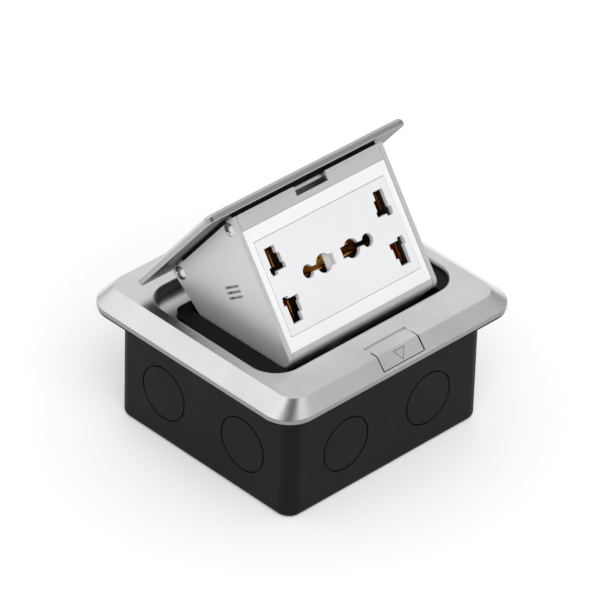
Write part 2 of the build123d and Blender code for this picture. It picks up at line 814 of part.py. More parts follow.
def build_all():
    os.makedirs("parts", exist_ok=True)
    save(make_back_box(), "back_box")
    save(make_box_screws(), "box_screws")
    save(make_earth_stud(), "earth_stud")
    save(make_frame(), "frame")
    save(make_frame_screws(), "frame_screws")
    save(make_rim_seal(), "rim_seal")
    save(make_tray(), "inner_tray")
    save(make_screw_caps(), "screw_caps")
    save(make_latch(), "latch_button")
    save(make_latch_guide(), "latch_guide")
    save(make_guide_screws(), "guide_screws")
    save(make_detent_spring(), "detent_spring")
    for bracket, side in zip(both_sides(make_right_hinge_bracket()), ("right", "left")):
        save(bracket, f"hinge_bracket_{side}")
    save(make_hinge_rivets(), "hinge_rivets")
    save(make_hinge_pins(), "hinge_pins")
    save(make_hinge_springs(), "hinge_springs")
    for plate, side in zip(both_sides(make_right_side_plate()), ("right", "left")):
        save(opened(plate), f"side_plate_{side}")
    save([opened(screw) for screw in make_side_screws()], "side_screws")
    save(opened(make_lid()), "lid")
    save(opened(make_lid_pad()), "lid_pad")
    save(opened(make_top_bracket()), "top_bracket")
    save(opened(make_bottom_bracket()), "bottom_bracket")
    save(opened(make_face_plate()), "face_plate")
    save(opened(make_socket_panel()), "socket_panel")
    save(opened(make_socket_case()), "socket_case")
    save([opened(leg) for leg in make_case_legs()], "case_legs")
    save(opened(make_pin_contacts(1)), "live_contacts")
    save(opened(make_pin_contacts(-1)), "neutral_contacts")
    save(opened(make_earth_contacts()), "earth_contacts")
    save(opened(make_shutter()), "shutter")
    save(opened(make_terminal_block()), "terminal_block")
    save([opened(screw) for screw in make_terminal_screws()], "terminal_screws")


build_all()
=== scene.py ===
"""Looks of a pop-up desk socket box, dressed on its fixed frame. Lengths are metres, +Z is up."""
import json
import math

import bmesh
import bpy
import numpy as np
from bpy.props import FloatProperty, FloatVectorProperty, PointerProperty
from mathutils import Matrix, Vector


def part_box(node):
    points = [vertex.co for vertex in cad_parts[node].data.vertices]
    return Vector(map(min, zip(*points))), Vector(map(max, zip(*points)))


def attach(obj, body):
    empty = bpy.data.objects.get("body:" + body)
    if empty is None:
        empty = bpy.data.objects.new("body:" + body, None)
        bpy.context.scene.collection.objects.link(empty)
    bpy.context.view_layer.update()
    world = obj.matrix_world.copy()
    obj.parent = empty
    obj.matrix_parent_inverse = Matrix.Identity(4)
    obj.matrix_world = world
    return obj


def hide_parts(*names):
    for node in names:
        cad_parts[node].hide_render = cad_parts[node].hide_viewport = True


bl_info = {
    "name": "Desk Socket Box",
    "version": (1, 0, 0),
    "blender": (4, 5, 0),
    "location": "3D Viewport > Sidebar > Socket Box",
    "description": "Finishes, softened edges and marks of a pop-up desk socket box, with its studio",
    "category": "Object",
}

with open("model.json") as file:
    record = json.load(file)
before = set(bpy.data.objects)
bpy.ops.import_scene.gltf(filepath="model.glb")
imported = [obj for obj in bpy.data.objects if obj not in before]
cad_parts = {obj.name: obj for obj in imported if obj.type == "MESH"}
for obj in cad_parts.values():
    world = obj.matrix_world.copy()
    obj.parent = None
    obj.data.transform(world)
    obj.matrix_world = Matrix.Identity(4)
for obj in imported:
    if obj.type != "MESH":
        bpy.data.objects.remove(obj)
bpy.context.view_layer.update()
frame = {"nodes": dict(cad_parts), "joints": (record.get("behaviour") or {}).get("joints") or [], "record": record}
BODY_OF = {node: body for body, nodes in frame["record"]["behaviour"]["bodies"].items() for node in nodes}
OPEN_ANGLE = math.radians(next(joint["range_deg"][1] for joint in frame["joints"]
                               if joint["name"] == "riser_hinge"))
CLOSED_SLOPE = math.radians(72.7)
FACE_SLOPE = CLOSED_SLOPE + OPEN_ANGLE
FACE_DOWN = Vector((0.0, math.cos(FACE_SLOPE), -math.sin(FACE_SLOPE)))
FACE_OUT = Vector((0.0, -math.sin(FACE_SLOPE), -math.cos(FACE_SLOPE)))
MM = 0.001
SHARP_ANGLE = math.radians(32.0)
CORNER_POINTS = 13
BULGE_POINTS = 9
LINER_POINTS = 48
LINE_POINTS = 12


def colour_property(name, description, default):
    return FloatVectorProperty(name=name, description=description, subtype="COLOR", size=3,
                               min=0.0, max=1.0, default=default)


def length_property(name, description, millimetres):
    return FloatProperty(name=name, description=description, unit="LENGTH", min=0.0,
                         default=millimetres * MM)


def factor_property(name, description, default):
    return FloatProperty(name=name, description=description, subtype="FACTOR", min=0.0, max=1.0,
                         default=default)


class CastSettings(bpy.types.PropertyGroup):
    """The cast surround and its latch."""
    colour: colour_property("Colour", "Sprayed casting", (0.80, 0.80, 0.81))
    roughness: factor_property("Roughness", "Gloss of the sprayed casting", 0.3)
    grain: length_property("Grain", "Size of the fine sparkle", 0.22)
    edge: length_property("Soft edge", "Radius worn on the creases", 0.2)
    crevice: length_property("Crevice", "How far shade reaches out of a joint", 1.3)
    bevel_run: length_property("Bevel run", "How far the front bevel runs in from the edge", 4.8)
    bevel_rise: length_property("Bevel rise", "How high the bevels rise", 5.6)
    edge_height: length_property("Edge height", "Upright edge below the bevels", 1.9)
    # Painted shade on the upright edge below the bevels, drawn as a darker colour.
    edge_shade_colour: colour_property("Edge", "Duller casting on the upright edge", (0.31, 0.31, 0.315))
    latch_ease: length_property("Latch ease", "How far the latch's front and sides stand back", 0.25)
    seal_inset: length_property("Seal inset", "From the surround's edge in to the foam", 0.3)
    seal_width: length_property("Seal width", "Foam ring across", 5.0)
    corner: length_property("Corner", "Radius of the surround's corners", 12.0)


class SheetSettings(bpy.types.PropertyGroup):
    """The riser's sheet metal and its lid."""
    lid_colour: colour_property("Lid", "Brushed lid", (0.62, 0.62, 0.63))
    # Painted shade on the lid's upright edge.
    lid_edge_shade: colour_property("Lid edge", "Milled edge of the lid", (0.43, 0.43, 0.435))
    lid_corner: length_property("Lid corner", "Radius of the lid's corners", 3.5)
    lid_corner_solid: length_property("Solid's corner", "Radius of those corners in the solid", 12.0)
    lid_chamfer: length_property("Lid chamfer", "Chamfer round the lid's top", 1.1)
    lid_chamfer_solid: length_property("Solid's chamfer", "That chamfer in the solid", 0.5)
    lid_thickness: length_property("Lid thickness", "Plate of the lid, without its lugs", 3.2)
    # Painted shade on the lid's underside.
    lid_under_shade: colour_property("Lid underside", "Raw casting under the lid", (0.10, 0.10, 0.102))
    lid_roughness: factor_property("Lid roughness", "Gloss of the brushed lid", 0.33)
    side_colour: colour_property("Sides", "Satin side plates", (0.72, 0.72, 0.73))
    strip_colour: colour_property("Strips", "Strips above and below the sockets", (0.72, 0.72, 0.73))
    film: factor_property("Film", "Share of the milky film on satin sheet", 0.45)
    vent_place: FloatVectorProperty(name="Vents", description="Middle of the vents, in Y and Z", size=2,
                                    unit="LENGTH", default=(-2.75 * MM, 74.9 * MM))
    liner_size: length_property("Liner", "Half the side of the liner behind the vents", 5.5)
    streak: length_property("Streak", "Width of one brush line", 0.12)
    side_roughness: factor_property("Side roughness", "Gloss of the satin sheet", 0.38)
    strip_roughness: factor_property("Strip roughness", "Gloss of the brushed strips", 0.34)
    crevice: length_property("Crevice", "How far shade reaches out of a joint", 0.7)
    edge: length_property("Soft edge", "Radius of the deburred edges", 0.12)


class PlasticSettings(bpy.types.PropertyGroup):
    """The mouldings."""
    white: colour_property("White", "Plate round the sockets", (0.93, 0.93, 0.935))
    panel: colour_property("Panel", "Cooler white of the socket panel", (0.86, 0.865, 0.88))
    shutter: colour_property("Shutter", "Light grey shutter", (0.62, 0.60, 0.58))
    case: colour_property("Case", "White moulding of the socket case", (0.75, 0.75, 0.74))
    # Painted shade inside the case, where the pin apertures look dark.
    inner: colour_property("Inner", "Dark insulation inside the case", (0.02, 0.017, 0.015))
    tray: colour_property("Tray", "Black tray", (0.003, 0.003, 0.0031))
    box: colour_property("Box", "Coated back box", (0.0066, 0.0066, 0.0069))
    case_half_x: length_property("Case half length", "To the middle of the case's end walls", 30.9)
    case_half_y: length_property("Case half width", "To the middle of the case's side walls", 16.8)
    case_depth: length_property("Case depth", "To the middle of the case's floor", 17.1)
    shutter_start: FloatProperty(name="Shutter start", description="Left edge of the shutter, along X",
                                 unit="LENGTH", default=-5.2 * MM)
    white_edge: length_property("White edge", "Radius of the white mouldings' edges", 0.18)
    box_edge: length_property("Box edge", "Radius of the coated box's edges", 0.3)


class SmallMetalSettings(bpy.types.PropertyGroup):
    """Fasteners, contacts and springs."""
    steel: colour_property("Steel", "Zinc plated steel", (0.56, 0.56, 0.57))
    screw: colour_property("Screw", "Nickel plated screws", (0.66, 0.65, 0.64))
    spring: colour_property("Spring", "Oiled spring wire", (0.25, 0.25, 0.26))
    brass: colour_property("Brass", "Contacts and terminals", (0.80, 0.36, 0.06))
    scratch: length_property("Scratch", "Width of a fine scratch", 0.32)


class MarkSettings(bpy.types.PropertyGroup):
    """The open triangle on the latch, its groove drawn as a dark line of painted shade."""
    width: length_property("Width", "Side along the surround", 5.4)
    height: length_property("Height", "From that side to the point", 4.1)
    below_crease: length_property("Below crease", "From the crease down the bevel", 1.2)
    line: length_property("Line", "Width of the dark line", 0.26)
    relief: length_property("Relief", "How far the line's round section stands out", 0.02)
    # Painted shade: the colour of the line that stands for the groove.
    colour: colour_property("Colour", "Shade of the dark line", (0.11, 0.11, 0.112))


class StageSettings(bpy.types.PropertyGroup):
    """The studio: camera, floor and light."""
    azimuth: FloatProperty(name="Azimuth", description="Camera's heading from +Y towards +X",
                           subtype="ANGLE", default=0.782)
    elevation: FloatProperty(name="Elevation", description="How steeply the camera looks down",
                             subtype="ANGLE", default=0.613)
    roll: FloatProperty(name="Roll", description="Camera's turn about its view", subtype="ANGLE",
                        default=0.03)
    distance: length_property("Distance", "From the camera to its target", 2018.55)
    target: FloatVectorProperty(name="Target", description="Point in the middle of the picture",
                                subtype="TRANSLATION", default=(0.005805, 0.007026, 0.045787))
    lens: FloatProperty(name="Lens", description="Focal length on a 36 mm sensor", default=324.1)
    floor_size: length_property("Floor", "Side of the floor", 6000.0)
    floor_colour: colour_property("Floor colour", "Pale floor", (0.90, 0.90, 0.90))
    floor_glow: FloatProperty(name="Floor glow", description="White added to what the camera sees",
                              default=0.25)
    sky: FloatProperty(name="Sky", description="Level of the even light", default=0.62)
    key: FloatProperty(name="Key", description="Strength of the soft key lamp", default=1.25)
    key_from: FloatVectorProperty(name="Key from", description="Direction of the key lamp",
                                  subtype="DIRECTION", default=(-0.35, -0.62, 0.75))
    key_spread: FloatProperty(name="Key spread", description="How broad the key lamp looks", subtype="ANGLE",
                              default=math.radians(50.0))


def settings(name):
    """One of the property groups."""
    return getattr(bpy.context.scene, f"socket_box_{name}")


# Materials
def rgba(colour, factor=1.0):
    return tuple(min(1.0, channel * factor) for channel in colour) + (1.0,)


def principled(name, colour, roughness, metallic=0.0, **sockets):
    """A fresh material with a Principled shader. Returns the material and its shader."""
    material = bpy.data.materials.new(name)
    material.use_nodes = True
    shader = material.node_tree.nodes["Principled BSDF"]
    shader.inputs["Base Color"].default_value = rgba(colour)
    shader.inputs["Roughness"].default_value = roughness
    shader.inputs["Metallic"].default_value = metallic
    for socket, value in sockets.items():
        shader.inputs[socket.replace("_", " ")].default_value = value
    return material, shader


def object_vector(tree, scale, turn=0.0):
    """Object coordinates turned about X, then scaled: a pattern runs long where its scale is small."""
    place = tree.nodes.new("ShaderNodeTexCoord")
    mapping = tree.nodes.new("ShaderNodeMapping")
    mapping.inputs["Rotation"].default_value = (turn, 0.0, 0.0)
    mapping.inputs["Scale"].default_value = scale
    tree.links.new(place.outputs["Object"], mapping.inputs["Vector"])
    return mapping.outputs["Vector"]


def noise(tree, vector, scale, detail=2.0):
    texture = tree.nodes.new("ShaderNodeTexNoise")
    texture.inputs["Scale"].default_value = scale
    texture.inputs["Detail"].default_value = detail
    tree.links.new(vector, texture.inputs["Vector"])
    return texture.outputs["Fac"]


def spread(tree, value, low, high):
    """Maps a noise's middle range to low..high."""
    return ranged(tree, value, 0.3, 0.7, low, high)


def set_inputs(tree, sockets, values):
    """Links or sets each socket, as its value is a socket or plain."""
    for socket, value in zip(sockets, values):
        if isinstance(value, bpy.types.NodeSocket):
            tree.links.new(value, socket)
        else:
            socket.default_value = value


def mix_base(tree, shader, share, first, second):
    """Base colour mixed from a first to a second colour."""
    mix = tree.nodes.new("ShaderNodeMix")
    mix.data_type = "RGBA"
    tree.links.new(share, mix.inputs["Factor"])
    set_inputs(tree, [socket for socket in mix.inputs if socket.type == "RGBA"], (first, second))
    result = next(socket for socket in mix.outputs if socket.type == "RGBA")
    tree.links.new(result, shader.inputs["Base Color"])


def tint(tree, shader, value, colour, amount):
    """Varies the colour by that share, darker and lighter, along a noise."""
    darker, lighter = rgba(colour, 1.0 - amount), rgba(colour, 1.0 + amount)
    mix_base(tree, shader, spread(tree, value, 0.0, 1.0), darker, lighter)


def bump(tree, shader, value, height):
    relief = tree.nodes.new("ShaderNodeBump")
    relief.inputs["Distance"].default_value = height
    tree.links.new(value, relief.inputs["Height"])
    tree.links.new(relief.outputs["Normal"], shader.inputs["Normal"])


def over(tree, shader, mask, colour):
    """Lays a plain colour over the base colour where the mask is 1."""
    mix_base(tree, shader, mask, shader.inputs["Base Color"].links[0].from_socket, rgba(colour))


def math_node(tree, operation, *values):
    """A Math node on sockets and plain numbers."""
    node = tree.nodes.new("ShaderNodeMath")
    node.operation = operation
    set_inputs(tree, node.inputs, values)
    return node.outputs[0]


def ranged(tree, value, low, high, dark=0.0, light=1.0):
    """Maps low..high to dark..light and holds both ends."""
    node = tree.nodes.new("ShaderNodeMapRange")
    for socket, number in (("From Min", low), ("From Max", high), ("To Min", dark), ("To Max", light)):
        node.inputs[socket].default_value = number
    tree.links.new(value, node.inputs["Value"])
    return node.outputs["Result"]


def along(tree, vector, direction):
    """Dot product of a vector and a direction."""
    dot = tree.nodes.new("ShaderNodeVectorMath")
    dot.operation = "DOT_PRODUCT"
    dot.inputs[1].default_value = direction
    tree.links.new(vector, dot.inputs[0])
    return dot.outputs["Value"]


def paint_crevice_shade(material, reach):
    """Paints shade into the base colour where other faces stand close, as in a joint."""
    tree = material.node_tree
    shader = tree.nodes["Principled BSDF"]
    shade = tree.nodes.new("ShaderNodeAmbientOcclusion")
    shade.samples = 8
    shade.inputs["Distance"].default_value = reach
    over(tree, shader, ranged(tree, shade.outputs["AO"], 0.3, 0.8, 1.0, 0.0), (0.008, 0.008, 0.008))


def cast_metal():
    """Sprayed casting: a fine sparkle, slow clouds in its gloss and a soft tooth, with painted shade on its
    upright edge and in its joints.
    """
    cast = settings("cast")
    material, shader = principled("sprayed_casting", cast.colour, cast.roughness, metallic=1.0)
    tree = material.node_tree
    vector = object_vector(tree, (1.0, 1.0, 1.0))
    sparkle = noise(tree, vector, 1.0 / cast.grain)
    clouds = noise(tree, vector, 55.0, detail=4.0)
    tint(tree, shader, clouds, cast.colour, 0.05)
    tree.links.new(spread(tree, sparkle, cast.roughness - 0.03, cast.roughness + 0.04),
                   shader.inputs["Roughness"])
    bump(tree, shader, sparkle, 8e-7)
    # Painted shade: everything lower than the edge's top takes the darker edge colour.
    height = along(tree, vector, (0.0, 0.0, 1.0))
    edge_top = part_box("frame")[0].z + cast.edge_height
    over(tree, shader, math_node(tree, "LESS_THAN", height, edge_top), cast.edge_shade_colour)
    # Painted shade in the surround's joints and round the latch.
    paint_crevice_shade(material, cast.crevice)
    return material


def brushed_metal(name, colour, roughness, depth, metallic=1.0):
    """Brushed sheet: lines one streak wide across X that run long down the riser's faces."""
    sheet = settings("sheet")
    material, shader = principled(name, colour, roughness, metallic=metallic)
    tree = material.node_tree
    across = 1.0 / sheet.streak
    vector = object_vector(tree, (across, across / 60.0, across / 60.0), OPEN_ANGLE)
    lines = noise(tree, vector, 1.0, detail=3.0)
    tint(tree, shader, lines, colour, depth)
    tree.links.new(spread(tree, lines, roughness - 0.05, roughness + 0.06), shader.inputs["Roughness"])
    bump(tree, shader, lines, 1e-6)
    return material


def lid_metal():
    """The brushed lid: its top and chamfers in the lid's colour, with painted shade on its upright edge and darker
    painted shade on its underside.
    """
    sheet = settings("sheet")
    material = brushed_metal("lid_metal", sheet.lid_colour, sheet.lid_roughness, depth=0.12)
    tree = material.node_tree
    shader = tree.nodes["Principled BSDF"]
    place = tree.nodes.new("ShaderNodeTexCoord")
    top = along(tree, place.outputs["Normal"], (0.0, math.sin(OPEN_ANGLE), math.cos(OPEN_ANGLE)))
    # Painted shade by facing: upright faces take the edge colour, downward faces the underside colour.
    over(tree, shader, ranged(tree, math_node(tree, "ABSOLUTE", top), 0.05, 0.35, 1.0, 0.0), sheet.lid_edge_shade)
    over(tree, shader, ranged(tree, top, -0.95, -0.8, 1.0, 0.0), sheet.lid_under_shade)
    return material


def satin_side():
    """Satin side sheet, with its grain down the riser and painted shade in its joints. The plates face along X, so
    it runs in Y and Z.
    """
    sheet = settings("sheet")
    material, shader = principled("satin_side", sheet.side_colour, sheet.side_roughness,
                                  metallic=1.0 - sheet.film)
    tree = material.node_tree
    across = 1.0 / sheet.streak
    grain = noise(tree, object_vector(tree, (across, across, across / 40.0), OPEN_ANGLE), 1.0, detail=3.0)
    tint(tree, shader, grain, sheet.side_colour, 0.03)
    tree.links.new(spread(tree, grain, sheet.side_roughness - 0.04, sheet.side_roughness + 0.05),
                   shader.inputs["Roughness"])
    bump(tree, shader, grain, 8e-7)
    # Painted shade in the side plates' joints and round the screw heads.
    paint_crevice_shade(material, sheet.crevice)
    return material


def moulded(name, colour, roughness, tooth=0.25, height=2e-6, specular=0.5):
    """Moulded plastic or a coating: an even colour with a fine tooth and slow change of gloss."""
    material, shader = principled(name, colour, roughness, Specular_IOR_Level=specular)
    tree = material.node_tree
    vector = object_vector(tree, (1.0, 1.0, 1.0))
    grain = noise(tree, vector, 1.0 / (tooth * MM))
    clouds = noise(tree, vector, 45.0)
    tint(tree, shader, clouds, colour, 0.02)
    tree.links.new(spread(tree, clouds, roughness - 0.04, roughness + 0.04), shader.inputs["Roughness"])
    bump(tree, shader, grain, height)
    return material


def case_plastic():
    """The socket case: white outside and painted shade inside, parted within its walls by position."""
    plastic = settings("plastic")
    material = moulded("case_moulding", plastic.case, 0.45)
    tree = material.node_tree
    low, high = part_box("socket_panel")
    place = tree.nodes.new("ShaderNodeTexCoord")
    centre = tree.nodes.new("ShaderNodeVectorMath")
    centre.operation = "SUBTRACT"
    centre.inputs[1].default_value = (low + high) / 2
    tree.links.new(place.outputs["Object"], centre.inputs[0])
    inside = 1.0
    for direction, reach in (((1.0, 0.0, 0.0), plastic.case_half_x), (FACE_DOWN, plastic.case_half_y),
                             (-FACE_OUT, plastic.case_depth)):
        away = math_node(tree, "ABSOLUTE", along(tree, centre.outputs["Vector"], direction))
        inside = math_node(tree, "MULTIPLY", math_node(tree, "LESS_THAN", away, reach), inside)
    # Painted shade: the inside of the case takes the dark colour.
    over(tree, tree.nodes["Principled BSDF"], inside, plastic.inner)
    return material


def plated(name, colour, roughness, height=2e-6, change=0.06):
    """Plated or bare small metal with fine scratches."""
    material, shader = principled(name, colour, roughness, metallic=1.0)
    tree = material.node_tree
    fineness = 1.0 / settings("small_metal").scratch
    lines = noise(tree, object_vector(tree, (1.0, 6.0, 1.0)), fineness, detail=4.0)
    tint(tree, shader, lines, colour, change)
    tree.links.new(spread(tree, lines, roughness - change, roughness + change), shader.inputs["Roughness"])
    bump(tree, shader, lines, height)
    return material


def foam():
    """Closed-cell foam: small pits."""
    material, shader = principled("foam", (0.012, 0.012, 0.012), 0.9, Specular_IOR_Level=0.2)
    tree = material.node_tree
    cells = tree.nodes.new("ShaderNodeTexVoronoi")
    cells.inputs["Scale"].default_value = 1.0 / (0.4 * MM)
    tree.links.new(object_vector(tree, (1.0, 1.0, 1.0)), cells.inputs["Vector"])
    bump(tree, shader, cells.outputs["Distance"], 3e-5)
    return material


# Pieces
def finish(nodes, material):
    """Gives frame nodes whose shape is right a finish."""
    for name in nodes:
        slots = frame["nodes"][name].data.materials
        slots.clear()
        slots.append(material)


def softened(node, edge, material, cut=False):
    """A copy of a node with its seams closed, its flat facets joined and its sharp edges rounded.
    It stands for the node. A flat face round a large hole is cut into triangles again."""
    mesh = frame["nodes"][node].data.copy()
    work = bmesh.new()
    work.from_mesh(mesh)
    bmesh.ops.remove_doubles(work, verts=work.verts, dist=1e-6)
    bmesh.ops.dissolve_limit(work, angle_limit=math.radians(0.3), verts=work.verts, edges=work.edges)
    if cut:
        many_sided = [face for face in work.faces if len(face.verts) > 4]
        bmesh.ops.triangulate(work, faces=many_sided, ngon_method="BEAUTY")
    work.to_mesh(mesh)
    work.free()
    mesh.name = f"{node}_skin"
    piece = bpy.data.objects.new(f"{node}_skin", mesh)
    bpy.context.scene.collection.objects.link(piece)
    mesh.materials.clear()
    mesh.materials.append(material)
    rounding = piece.modifiers.new("edge", "BEVEL")
    rounding.width = edge
    rounding.segments = 2
    rounding.limit_method = "ANGLE"
    rounding.angle_limit = SHARP_ANGLE
    rounding.miter_outer = "MITER_ARC"
    rounding.use_clamp_overlap = True
    shade_smooth(piece)
    even = piece.modifiers.new("even", "WEIGHTED_NORMAL")
    even.weight = 80
    even.keep_sharp = True
    stand_for(piece, node)
    return piece


def cut_back(piece, x):
    """Takes away what lies left of x and closes the cut."""
    work = bmesh.new()
    work.from_mesh(piece.data)
    geometry = work.verts[:] + work.edges[:] + work.faces[:]
    cut = bmesh.ops.bisect_plane(work, geom=geometry, plane_co=(x, 0.0, 0.0), plane_no=(1.0, 0.0, 0.0),
                                 clear_inner=True)
    rim = [part for part in cut["geom_cut"] if isinstance(part, bmesh.types.BMEdge)]
    bmesh.ops.edgeloop_fill(work, edges=rim)
    bmesh.ops.recalc_face_normals(work, faces=work.faces)
    work.to_mesh(piece.data)
    work.free()
    shade_smooth(piece)


def shade_smooth(piece):
    """Smooth facets, with sharp edges where they turn past the sharp angle."""
    mesh = piece.data
    mesh.polygons.foreach_set("use_smooth", np.ones(len(mesh.polygons), bool))
    mesh.set_sharp_from_angle(angle=SHARP_ANGLE)


def stand_for(piece, node):
    """The piece rides where a node rides and stands for it, with the node hidden."""
    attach(piece, BODY_OF[node])
    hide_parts(node)


def grid_piece(name, points, material, close_u, close_v):
    """A mesh from a grid of points (u, v, 3): rows along u, each ring along v, closed where told."""
    count_u, count_v = points.shape[:2]
    rows = np.arange(count_u if close_u else count_u - 1)
    columns = np.arange(count_v if close_v else count_v - 1)
    u, v = (axis.ravel() for axis in np.meshgrid(rows, columns, indexing="ij"))
    next_u, next_v = (u + 1) % count_u, (v + 1) % count_v
    faces = np.stack([u * count_v + v, u * count_v + next_v, next_u * count_v + next_v,
                      next_u * count_v + v], axis=1)
    mesh = bpy.data.meshes.new(name)
    mesh.from_pydata(points.reshape(-1, 3).tolist(), [], faces.tolist())
    work = bmesh.new()
    work.from_mesh(mesh)
    bmesh.ops.remove_doubles(work, verts=work.verts, dist=1e-7)
    bmesh.ops.recalc_face_normals(work, faces=work.faces)
    work.to_mesh(mesh)
    work.free()
    mesh.materials.append(material)
    piece = bpy.data.objects.new(name, mesh)
    bpy.context.scene.collection.objects.link(piece)
    shade_smooth(piece)
    return piece


def foam_ring(material):
    """The foam ring under the surround: a section carried along a rounded rectangle.
    At each corner the path is centre + corner * (cos v, sin v), and straight runs join the corners.
    The section bulges outwards by bulge * cos u and is half * sin u high, with a square inner side."""
    cast = settings("cast")
    low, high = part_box("frame")
    seal_low, seal_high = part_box("rim_seal")
    half = (seal_high.z - seal_low.z) / 2
    bulge = cast.seal_inset / 2
    corner = cast.corner - cast.seal_inset - bulge
    quarter = np.linspace(0.0, math.pi / 2, CORNER_POINTS)
    angle = quarter[None, :] + (np.arange(4) * math.pi / 2)[:, None]
    outward = np.stack([np.cos(angle), np.sin(angle), np.zeros_like(angle)], axis=2).reshape(-1, 3)
    signs = np.array([[1, 1, 0], [-1, 1, 0], [-1, -1, 0], [1, -1, 0]]).repeat(CORNER_POINTS, axis=0)
    middle = np.array((low + high) / 2) * (1, 1, 0) + np.array([0, 0, seal_low.z + half])
    reach = np.array((high - low) / 2) * (1, 1, 0) - cast.corner * np.array([1, 1, 0])
    path = middle + signs * reach + corner * outward
    turn = np.linspace(-math.pi / 2, math.pi / 2, BULGE_POINTS)
    out = np.concatenate([bulge * np.cos(turn), [-cast.seal_width, -cast.seal_width]])
    up = np.concatenate([half * np.sin(turn), [half, -half]])
    points = path[:, None, :] + outward[:, None, :] * out[None, :, None]
    points += up[None, :, None] * np.array([0.0, 0.0, 1.0])
    stand_for(grid_piece("foam_ring", points, material, True, True), "rim_seal")


def vent_liner(side, material):
    """A thin sheet behind the vents of one side plate: a rounded slab whose outline is
    half size * sign(cos v) * |cos v| ^ (1/3) one way and the same of sin v the other, over four rings
    from the middle of one face round the edge to the middle of the other."""
    sheet = settings("sheet")
    low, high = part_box("side_plate_left" if side < 0 else "side_plate_right")
    inner = high.x if side < 0 else low.x
    middle = np.array([inner, *sheet.vent_place])
    angle = np.linspace(0.0, 2.0 * math.pi, LINER_POINTS, endpoint=False)
    down, back = np.array(FACE_DOWN), -np.array(FACE_OUT)

    def reach(wave):
        return np.sign(wave) * np.abs(wave) ** (1.0 / 3.0)

    outline = (sheet.liner_size * reach(np.cos(angle)))[:, None] * down
    outline = outline + (sheet.liner_size * reach(np.sin(angle)))[:, None] * back
    rings = np.array([0.0, 1.0, 1.0, 0.0])[:, None, None] * outline[None, :, :]
    depth = np.array([0.05, 0.05, 0.4, 0.4]) * MM
    points = middle - side * depth[:, None, None] * np.array([1.0, 0.0, 0.0]) + rings
    piece = grid_piece(f"vent_liner_{'left' if side < 0 else 'right'}", points, material, False, True)
    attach(piece, "riser")


def trim_lid(piece):
    """Tighter corners and a wider top chamfer on the lid's plate. Every vertex of its outline lies at
    centre + radius * n, where n is its direction from its corner's centre in the plate's plane. The
    centre moves out as the radius shrinks, and the top ring also moves in, and the one below it down,
    by what the chamfer gains."""
    sheet = settings("sheet")
    near = 0.01 * MM
    mesh = piece.data
    points = np.empty(len(mesh.vertices) * 3)
    mesh.vertices.foreach_get("co", points)
    across = np.array([1.0, 0.0, 0.0])
    run = np.array([0.0, math.cos(OPEN_ANGLE), -math.sin(OPEN_ANGLE)])
    up = np.array([0.0, math.sin(OPEN_ANGLE), math.cos(OPEN_ANGLE)])
    axes = np.stack([across, run, up])
    local = points.reshape(-1, 3) @ axes.T
    plate = local[:, 2] > local[:, 2].max() - sheet.lid_thickness - near
    flat, level = local[plate, :2], local[plate, 2]
    middle = (flat.min(axis=0) + flat.max(axis=0)) / 2
    half = (flat.max(axis=0) - flat.min(axis=0)) / 2
    side = np.sign(flat - middle)
    offset = np.abs(flat - middle) - (half - sheet.lid_corner_solid)
    radius = np.linalg.norm(offset, axis=1)
    outline = (offset.min(axis=1) > -near) & (radius > sheet.lid_corner_solid - 2 * sheet.lid_chamfer_solid)
    gain = sheet.lid_chamfer - sheet.lid_chamfer_solid
    depth = level.max() - level
    top = depth < near
    below = (depth > near) & (depth < sheet.lid_chamfer_solid + near)
    shrink = sheet.lid_corner_solid - sheet.lid_corner
    moved = half - sheet.lid_corner + offset / radius[:, None] * (radius - shrink - gain * top)[:, None]
    flat[outline] = (middle + side * moved)[outline]
    level[below] -= gain
    local[plate] = np.column_stack([flat, level])
    mesh.vertices.foreach_set("co", (local @ axes).ravel())
    mesh.update()


def triangle_mark(material):
    """The open triangle on the latch, a line of painted shade for its groove: a flat round section carried along a
    triangle's three sides.
    A side is its two corners mixed by v, and the section is line / 2 * cos(u) across the side and
    relief * sin(u) out of the bevel, mitred at the corners."""
    mark = settings("mark")
    cast = settings("cast")
    low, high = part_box("frame")
    crease = np.array([0.0, low.y + cast.bevel_run, high.z])
    length = math.hypot(cast.bevel_run, cast.bevel_rise)
    slope = np.array([0.0, -cast.bevel_run, -cast.bevel_rise]) / length
    normal = np.array([0.0, -cast.bevel_rise, cast.bevel_run]) / length
    sideways = np.array([1.0, 0.0, 0.0])
    top = crease + slope * mark.below_crease + np.array([0.0, cast.latch_ease, 0.0])
    corners = np.array([top - sideways * mark.width / 2, top + sideways * mark.width / 2,
                        top + slope * mark.height])
    middle = corners.mean(axis=0)
    inward = middle - corners
    inward /= np.linalg.norm(inward, axis=1)[:, None]
    angle = np.linspace(0.0, 2.0 * math.pi, LINE_POINTS, endpoint=False)
    reach = mark.line / 2 / np.sin(corner_angles(corners) / 2)
    across = inward[:, None, :] * (reach[:, None] * np.cos(angle))[:, :, None]
    out = normal[None, None, :] * (mark.relief * np.sin(angle))[None, :, None]
    return grid_piece("latch_mark", corners[:, None, :] + across + out, material, True, True)


def corner_angles(corners):
    """The inner angle at each corner of a triangle."""
    to_next = np.roll(corners, -1, axis=0) - corners
    to_last = np.roll(corners, 1, axis=0) - corners
    cosine = (to_next * to_last).sum(axis=1)
    cosine /= np.linalg.norm(to_next, axis=1) * np.linalg.norm(to_last, axis=1)
    return np.arccos(cosine)


class PieceOperator:
    """What every operator here shares: it ends finished, or an error stops the script."""
    bl_options = {"REGISTER", "UNDO"}


